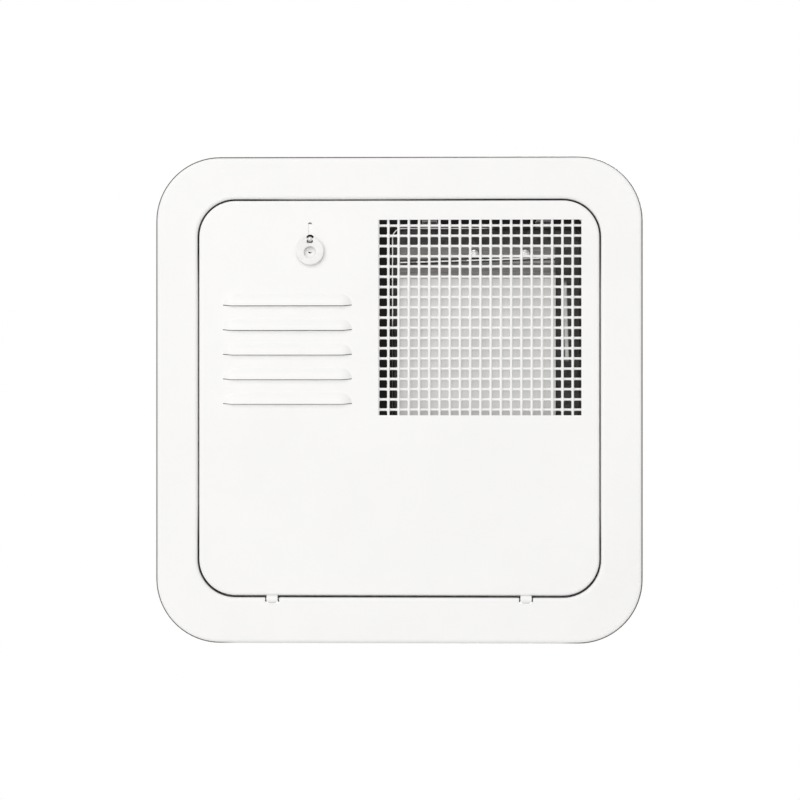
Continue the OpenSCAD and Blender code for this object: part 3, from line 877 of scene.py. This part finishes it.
class Bench:
    """Modelling steps that several pieces share."""

    @staticmethod
    def clear_selection() -> None:
        """Deselects every object."""
        for thing in bpy.context.selected_objects:
            thing.select_set(False)

    @staticmethod
    def take(name: str) -> bpy.types.Object:
        """Names the object that an operator has just added.

        Args:
            name: Its new name.

        Returns:
            The object.
        """
        made = bpy.context.active_object
        made.name = name
        made.data.name = name
        return made

    @staticmethod
    def pick_faces(made: bpy.types.Object, wanted: Callable[[Vector], bool]) -> None:
        """Selects, in edit mode, the faces for which a test is true and no others.

        Args:
            made: Object in edit mode.
            wanted: Test that is given a face's normal.
        """
        mesh = bmesh.from_edit_mesh(made.data)
        for face in mesh.faces:
            face.select_set(False)
        for face in mesh.faces:
            if wanted(face.normal):
                face.select_set(True)
        mesh.select_flush_mode()
        bmesh.update_edit_mesh(made.data)

    @staticmethod
    def settle(made: bpy.types.Object, turn: float = 30.0) -> None:
        """Applies the object's place to its mesh and smooths it by angle.

        Args:
            made: Object in object mode.
            turn: Edges sharper than this, in degrees, stay sharp.
        """
        Bench.clear_selection()
        made.select_set(True)
        bpy.context.view_layer.objects.active = made
        bpy.ops.object.transform_apply(location=True, rotation=True, scale=True)
        bpy.ops.object.shade_smooth_by_angle(angle=math.radians(turn))

    @staticmethod
    def turn_back(made: bpy.types.Object) -> bpy.types.Object:
        """Turns a piece that lies at the origin, in its mesh, so that its crown faces +Y.

        Args:
            made: The piece, with its crown towards -Y.

        Returns:
            The same piece.
        """
        Bench.clear_selection()
        made.select_set(True)
        bpy.context.view_layer.objects.active = made
        bpy.ops.transform.rotate(value=math.pi, orient_axis=Axis.Z.value, center_override=(0, 0, 0))
        bpy.ops.object.transform_apply(location=True, rotation=True, scale=True)
        return made

    @staticmethod
    def copies(model: bpy.types.Object, places: list[Vector], name: str) -> bpy.types.Object:
        """Copies a finished piece to several places, joins the copies and drops the model.

        Args:
            model: Piece that was built at the origin.
            places: Where the copies go.
            name: Name of the joined piece.

        Returns:
            The joined piece.
        """
        made = []
        for spot in places:
            twin = model.copy()
            twin.data = model.data.copy()
            bpy.context.scene.collection.objects.link(twin)
            twin.location = spot
            made.append(twin)
        Bench.clear_selection()
        for twin in made:
            twin.select_set(True)
        bpy.context.view_layer.objects.active = made[0]
        bpy.ops.object.join()
        joined = Bench.take(name)
        Bench.settle(joined)
        bpy.data.objects.remove(model)
        return joined


@dataclass(frozen=True)
class RoundHead:
    """Sizes of a low round piece with a rounded edge."""

    radius: float
    height: float
    rounding: float
    sides: int
    steps: int

    def model(self, name: str) -> bpy.types.Object:
        """Models the piece with its seat on Y zero and its crown towards -Y.

        Args:
            name: Name of the piece.

        Returns:
            The piece, at the origin.
        """
        Bench.clear_selection()
        bpy.ops.mesh.primitive_cylinder_add(vertices=self.sides, radius=self.radius, depth=self.height,
                                            location=(0, -self.height / 2, 0), rotation=(math.pi / 2, 0, 0))
        head = Bench.take(name)
        bpy.ops.object.transform_apply(location=True, rotation=True, scale=True)
        bpy.ops.object.mode_set(mode="EDIT")
        Bench.pick_faces(head, faces_front)
        bpy.ops.mesh.bevel(offset=self.rounding, segments=self.steps, affect="EDGES")
        bpy.ops.object.mode_set(mode="OBJECT")
        return head


def hand_over(piece: bpy.types.Object, material: bpy.types.Material, body: Body) -> None:
    """Gives a new piece its finish and the CAD body that it rides on.

    Args:
        piece: The finished piece.
        material: Its material.
        body: Body that carries it.
    """
    piece.data.materials.clear()
    piece.data.materials.append(material)
    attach(piece, body.value)
    log.info("%s: %d faces, on body %s", piece.name, len(piece.data.polygons), body.value)


def dress(material: bpy.types.Material, *nodes: str) -> None:
    """Gives CAD nodes a material.

    Args:
        material: The material.
        *nodes: Names of the nodes.
    """
    for name in nodes:
        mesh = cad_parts[name].data
        mesh.materials.clear()
        mesh.materials.append(material)
        log.info("%s: dressed in %s", name, material.name)


@dataclass
class TrimFrame:
    """Pressed trim frame with its latch keeper and foam seal."""

    seal: tuple[Side, ...] = tuple(Side)

    def build(self, finishes: Finishes) -> None:
        """Dresses the frame, the keeper and the seal."""
        dress(finishes.rim, "trim_frame")
        dress(finishes.enamel, "latch_keeper")
        dress(finishes.foam, *(f"seal_{side.value}" for side in self.seal))


@dataclass
class Hinges:
    """The two hinges under the door."""

    sides: tuple[Side, ...] = (Side.LEFT, Side.RIGHT)

    def build(self, finishes: Finishes) -> None:
        """Dresses the clips, knuckles and pins."""
        for side in self.sides:
            dress(finishes.enamel, f"hinge_knuckle_{side.value}")
            # The clips' dark steel is also painted shade in the frame's notches beside the knuckles.
            dress(finishes.oiled, f"hinge_clip_{side.value}")
            dress(finishes.zinc, f"hinge_pin_{side.value}")


@dataclass
class Door:
    """Door panel with its louvres, grille and clamp strips."""

    wire_pitch: float = 0.00811
    uprights: int = 21
    levels: int = 19
    wire_size: float = 0.0019
    fillet_half: float = 0.0014
    fillet_height: float = 0.0007
    fillet_bevel: float = 0.0003
    strip_sheet: float = 0.0008
    weld: RoundHead = RoundHead(radius=0.0013, height=0.0002, rounding=0.00015, sides=16, steps=1)
    weld_inset: float = 0.0019
    welds_per_strip: int = 6

    def fillet(self) -> bpy.types.Object:
        """Models the paint that fills the corners where two wires cross.

        Returns:
            The fillet, at the origin, its front towards -Y.
        """
        Bench.clear_selection()
        bpy.ops.mesh.primitive_cube_add(size=1.0)
        made = Bench.take("crossing_fillet")
        made.scale = (2 * self.fillet_half, self.fillet_height, 2 * self.fillet_half)
        bpy.ops.object.transform_apply(location=True, rotation=True, scale=True)
        bpy.ops.object.mode_set(mode="EDIT")
        Bench.pick_faces(made, faces_front)
        bpy.ops.mesh.bevel(offset=self.fillet_bevel, segments=1, affect="EDGES")
        bpy.ops.object.mode_set(mode="OBJECT")
        return made

    def crossings(self) -> list[Vector]:
        """Finds where the wires cross.

        Returns:
            The places, halfway between the two layers of wires.
        """
        low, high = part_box("wire_grille")
        middle_x, middle_z = (low.x + high.x) / 2, (low.z + high.z) / 2
        depth = low.y + self.wire_size
        return [Vector((middle_x + (i - (self.uprights - 1) / 2) * self.wire_pitch, depth,
                        middle_z + (j - (self.levels - 1) / 2) * self.wire_pitch))
                for i in range(self.uprights) for j in range(self.levels)]

    def strip_welds(self) -> list[Vector]:
        """Finds the spot welds along the feet of the clamp strips.

        Returns:
            The places, on the feet's rear faces.
        """
        places = []
        foot_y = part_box("grille_clamp_top")[0].y + self.strip_sheet
        for side in Side:
            low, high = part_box(f"grille_clamp_{side.value}")
            for i in range(self.welds_per_strip):
                share = (i + 0.5) / self.welds_per_strip
                along_x, along_z = low.x + share * (high.x - low.x), low.z + share * (high.z - low.z)
                places.append({
                    Side.TOP: Vector((along_x, foot_y, high.z - self.weld_inset)),
                    Side.BOTTOM: Vector((along_x, foot_y, low.z + self.weld_inset)),
                    Side.LEFT: Vector((low.x + self.weld_inset, foot_y, along_z)),
                    Side.RIGHT: Vector((high.x - self.weld_inset, foot_y, along_z)),
                }[side])
        return places

    def build(self, finishes: Finishes) -> None:
        """Dresses the door's own pieces and adds the paint and the spot welds of the grille."""
        fillets = Bench.copies(self.fillet(), self.crossings(), "crossing_fillets")
        hand_over(fillets, finishes.wires, Body.DOOR)
        mark = Bench.turn_back(self.weld.model("strip_weld"))
        welds = Bench.copies(mark, self.strip_welds(), "strip_welds")
        hand_over(welds, finishes.zinc, Body.DOOR)
        dress(finishes.enamel, "door_panel", "latch_backing")
        dress(finishes.wires, "wire_grille")
        dress(finishes.galvanised, *(f"grille_clamp_{side.value}" for side in Side))


@dataclass
class Shield:
    """Heat shield behind the grille, with the blank plate that is riveted to it."""

    plate_sheet: float = 0.0008
    rivet_x: Span = (0.0600, 0.1010)
    rivet_z: float = 0.2912
    head: RoundHead = RoundHead(radius=0.0038, height=0.0016, rounding=0.0013, sides=32, steps=4)
    dish_edge: float = 0.0013
    dish_wall: float = 0.0002
    dish_depth: float = 0.0007
    tail: RoundHead = RoundHead(radius=0.0022, height=0.0024, rounding=0.0009, sides=24, steps=3)
    weld: RoundHead = RoundHead(radius=0.0018, height=0.00025, rounding=0.0002, sides=20, steps=2)
    weld_edge: float = 0.0005
    weld_dip: float = 0.00012
    weld_inset: float = 0.0055
    weld_steps: Span = (-0.003, 0.003)

    @staticmethod
    def brackets(row: Side) -> list[str]:
        """Names the shield's brackets in one row."""
        return [f"shield_bracket_{row.value}_{side.value}" for side in (Side.LEFT, Side.RIGHT)]

    def rivet_head(self) -> bpy.types.Object:
        """Models one blind rivet's head, its dome towards -Y and its seat on Y zero.

        Returns:
            The head, at the origin.
        """
        head = self.head.model("rivet_head")
        bpy.ops.object.mode_set(mode="EDIT")
        Bench.pick_faces(head, faces_front)
        bpy.ops.mesh.inset(thickness=self.dish_edge, depth=0)
        bpy.ops.mesh.inset(thickness=self.dish_wall, depth=-self.dish_depth)
        bpy.ops.object.mode_set(mode="OBJECT")
        return head

    def weld_mark(self) -> bpy.types.Object:
        """Models the low round mark of a spot weld, its crown towards +Y.

        Returns:
            The mark, at the origin.
        """
        mark = self.weld.model("weld_mark")
        bpy.ops.object.mode_set(mode="EDIT")
        Bench.pick_faces(mark, faces_front)
        bpy.ops.mesh.inset(thickness=self.weld_edge, depth=-self.weld_dip)
        bpy.ops.object.mode_set(mode="OBJECT")
        return Bench.turn_back(mark)

    def weld_places(self) -> list[Vector]:
        """Finds the spot welds behind the shield's brackets, two to each.

        Returns:
            The places, on the brackets' rear faces.
        """
        places = []
        for row in (Side.TOP, Side.BOTTOM):
            for bracket in self.brackets(row):
                low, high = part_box(bracket)
                height = low.z + self.weld_inset if row is Side.TOP else high.z - self.weld_inset
                middle = (low.x + high.x) / 2
                places += [Vector((middle + step, high.y, height)) for step in self.weld_steps]
        return places

    def rivet_places(self, depth: float) -> list[Vector]:
        """Gives the rivets' places at a depth."""
        return [Vector((x, depth, self.rivet_z)) for x in self.rivet_x]

    def build(self, finishes: Finishes) -> None:
        """Dresses the shield and plate and adds the rivets and the brackets' spot welds."""
        dress(finishes.shield, "heat_shield")
        dress(finishes.galvanised, *self.brackets(Side.TOP), *self.brackets(Side.BOTTOM))
        dress(finishes.aluminium, "instruction_plate")
        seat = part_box("instruction_plate")[1].y - self.plate_sheet
        heads = Bench.copies(self.rivet_head(), self.rivet_places(seat), "plate_rivets")
        hand_over(heads, finishes.rivets, Body.DOOR)
        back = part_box("heat_shield")[1].y
        tail = Bench.turn_back(self.tail.model("rivet_tail"))
        tails = Bench.copies(tail, self.rivet_places(back), "rivet_tails")
        hand_over(tails, finishes.rivets, Body.DOOR)
        welds = Bench.copies(self.weld_mark(), self.weld_places(), "bracket_welds")
        hand_over(welds, finishes.zinc, Body.DOOR)


@dataclass
class Latch:
    """Pull-ring latch."""

    plated: tuple[str, ...] = ("latch_shank", "latch_crossbar", "ring_pin")
    blackened: tuple[str, ...] = ("latch_spring", "latch_washer")

    def build(self, finishes: Finishes) -> None:
        """Dresses the latch."""
        dress(finishes.zinc, *self.plated)
        dress(finishes.oiled, *self.blackened)
        dress(finishes.nylon, "pull_ring")


# Studio


@dataclass(frozen=True)
class Lamp:
    """A square soft light that faces the door."""

    name: str
    place: Ways
    size: float
    watts: float

    def hang(self, centre: Vector) -> None:
        """Hangs the light.

        Args:
            centre: The door's middle, from which its place is taken.
        """
        data = bpy.data.lights.new(self.name, "AREA")
        data.shape = "SQUARE"
        data.size = self.size
        data.energy = self.watts
        lamp = bpy.data.objects.new(self.name, data)
        bpy.context.scene.collection.objects.link(lamp)
        away = Vector(self.place)
        lamp.location = centre + away
        lamp.rotation_mode = "QUATERNION"
        lamp.rotation_quaternion = (-away).to_track_quat("-Z", "Y")


@dataclass
class Studio:
    """Floor, shade card, surround, lamps and camera."""

    aim_shift: float = 0.0009
    distance: float = 1.76
    lens: float = 100.0
    azimuth: float = 1.2
    floor_drop: float = 1.0
    floor_radius: float = 1.3
    floor_sides: int = 96
    floor_light: Colour = (0.86, 0.86, 0.855)
    floor_shade: Colour = (0.83, 0.83, 0.825)
    floor_speckle: Lumps = Lumps(3.0, 4.0, 0.6)
    floor_relief: Relief = Relief(0.05, 0.0005)
    floor_roughness: Span = (0.7, 0.85)
    card_size: Span = (0.3046, 0.3006)
    card_rise: float = 0.0014
    card_inset: float = 0.0008
    card_round: float = 0.0224
    card_steps: int = 8
    card_dark: Colour = (0.006, 0.006, 0.006)
    card_light: Colour = (0.018, 0.017, 0.016)
    card_clouds: Lumps = Lumps(14.0, 3.0, 0.6)
    soft_level: float = 0.275
    soft_lean: Ways = (-0.02, -0.64, 0.08)
    white: tuple[float, float, float, float] = (1.0, 1.0, 1.0, 1.0)
    lamps: tuple[Lamp, ...] = (Lamp(name="key", place=(-1.7, -4.3, 1.9), size=4.2, watts=102.5),
                               Lamp(name="rear", place=(0.8, 1.8, 1.2), size=1.6, watts=42.0))

    @property
    def centre(self) -> Vector:
        """The middle of the trim frame's front, a little to the right, where the camera aims."""
        low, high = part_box("trim_frame")
        return Vector((self.aim_shift, low.y, (low.z + high.z) / 2))

    def floor(self) -> None:
        """Makes the pale floor, well below the door."""
        Bench.clear_selection()
        place = (self.centre.x, 0, self.centre.z - self.floor_drop)
        bpy.ops.mesh.primitive_circle_add(vertices=self.floor_sides, radius=self.floor_radius,
                                          fill_type="NGON", location=place)
        floor = Bench.take("studio_floor")
        Bench.settle(floor)
        g = Graph(bpy.data.materials.new("studio_floor"))
        speckle = g.noise(g.place(), self.floor_speckle)
        colour = g.mix(speckle, self.floor_light, self.floor_shade)
        roughness = g.spread(speckle, self.floor_roughness)
        g.shade(colour, roughness, g.bump(speckle, self.floor_relief), Specular_IOR_Level=0.2)
        floor.data.materials.append(g.owner)

    def shade_card(self) -> None:
        """Lays a dark card in the frame's rear collar, which only the camera in front sees: painted shade.

        It stands for the dark space of the heater. From behind it is clear, and it casts no shade.
        """
        low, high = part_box("trim_frame")
        place = (0, high.y - self.card_inset, (low.z + high.z) / 2 + self.card_rise)
        Bench.clear_selection()
        bpy.ops.mesh.primitive_plane_add(size=1.0, location=place, rotation=(math.pi / 2, 0, 0))
        card = Bench.take("shade_card")
        card.scale = (*self.card_size, 1.0)
        bpy.ops.object.transform_apply(location=True, rotation=True, scale=True)
        bpy.ops.object.mode_set(mode="EDIT")
        bpy.ops.mesh.select_all(action="SELECT")
        bpy.ops.mesh.bevel(offset=self.card_round, segments=self.card_steps, affect="VERTICES")
        bpy.ops.object.mode_set(mode="OBJECT")
        Bench.settle(card)
        g = Graph(bpy.data.materials.new("shade_card"))
        seen = g.node("ShaderNodeLightPath").outputs["Is Camera Ray"]
        behind = g.node("ShaderNodeNewGeometry").outputs["Backfacing"]
        front = g.sum(Sum.IS_MORE, seen, behind)
        clear = g.node("ShaderNodeBsdfTransparent")
        # Near-black emission: painted shade, seen only by the camera from the front.
        dark = g.node("ShaderNodeEmission")
        clouds = g.noise(g.place(), self.card_clouds)
        g.link(g.mix(clouds, self.card_dark, self.card_light), dark.inputs["Color"])
        g.choose(front, clear.outputs["BSDF"], dark.outputs["Emission"])
        card.data.materials.append(g.owner)

    def surround(self) -> None:
        """Makes the surround: white to the camera and in reflections, and soft light for the rest.

        The soft light is strongest from the front, weaker from the sides and weakest from behind, with
        a little more from above than from below.
        """
        world = bpy.data.worlds.new("surround")
        bpy.context.scene.world = world
        g = Graph(world)
        lean = g.node("ShaderNodeVectorMath", operation="DOT_PRODUCT")
        lean.inputs[1].default_value = self.soft_lean
        g.link(g.node("ShaderNodeTexCoord").outputs["Generated"], lean.inputs[0])
        level = g.rise(lean.outputs["Value"], (-self.soft_level, 1.0 - self.soft_level))
        soft, full = g.node("ShaderNodeBackground"), g.node("ShaderNodeBackground")
        for ground in (soft, full):
            ground.inputs["Color"].default_value = self.white
        g.link(level, soft.inputs["Strength"])
        rays = g.node("ShaderNodeLightPath").outputs
        clear = g.sum(Sum.LARGER, rays["Is Glossy Ray"], rays["Is Transmission Ray"])
        seen = g.sum(Sum.LARGER, rays["Is Camera Ray"], clear)
        g.choose(seen, soft.outputs["Background"], full.outputs["Background"])

    def camera(self) -> None:
        """Sets the camera at the photograph's viewing angle."""
        data = bpy.data.cameras.new("camera")
        data.lens = self.lens
        camera = bpy.data.objects.new("camera", data)
        bpy.context.scene.collection.objects.link(camera)
        turn = math.radians(self.azimuth)
        back = Vector((math.sin(turn), -math.cos(turn), 0))
        camera.location = self.centre + back * self.distance
        camera.rotation_mode = "QUATERNION"
        camera.rotation_quaternion = (-back).to_track_quat("-Z", "Y")
        bpy.context.scene.camera = camera

    def build(self) -> None:
        """Sets up the studio."""
        self.floor()
        self.shade_card()
        self.surround()
        for lamp in self.lamps:
            lamp.hang(self.centre)
        self.camera()
        bpy.context.scene.view_settings.view_transform = "Standard"


def main() -> None:
    """Builds and dresses the door, piece by piece."""
    logging.basicConfig(level=logging.INFO, format="%(name)s: %(message)s")
    finishes = Finishes.make()
    for part in (TrimFrame(), Hinges(), Door(), Shield(), Latch()):
        log.info("%s", type(part).__name__)
        part.build(finishes)
    Studio().build()


if __name__ == "__main__":
    main()
